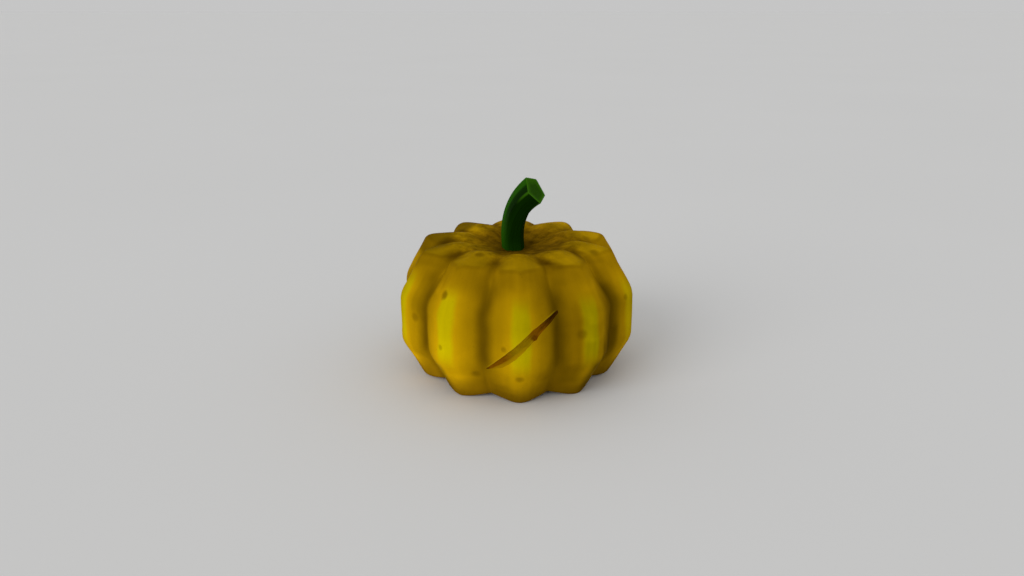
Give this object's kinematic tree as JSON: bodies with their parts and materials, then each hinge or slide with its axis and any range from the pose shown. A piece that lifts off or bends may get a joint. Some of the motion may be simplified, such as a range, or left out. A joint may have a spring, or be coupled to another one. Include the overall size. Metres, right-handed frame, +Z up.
{
  "type": "pumpkin",
  "caption": "Ribbed yellow pumpkin with a bent, angular green stem and a long gash across its front rib.",
  "frame": {"origin": "on the surface the fruit rests on, below the middle of the fruit's box", "axes": "+Z up along the fruit's axis; -Y towards the crest of the front rib, which carries the gash; +X to the right seen from the front, the side the stem leans to"},
  "size_m": [0.2516, 0.2622, 0.2171],
  "materials": {
    "skin": "satin",
    "stem": "matte"
  },
  "bodies": {
    "root": {"fruit": "skin", "stem": "stem"}
  },
  "joints": []
}
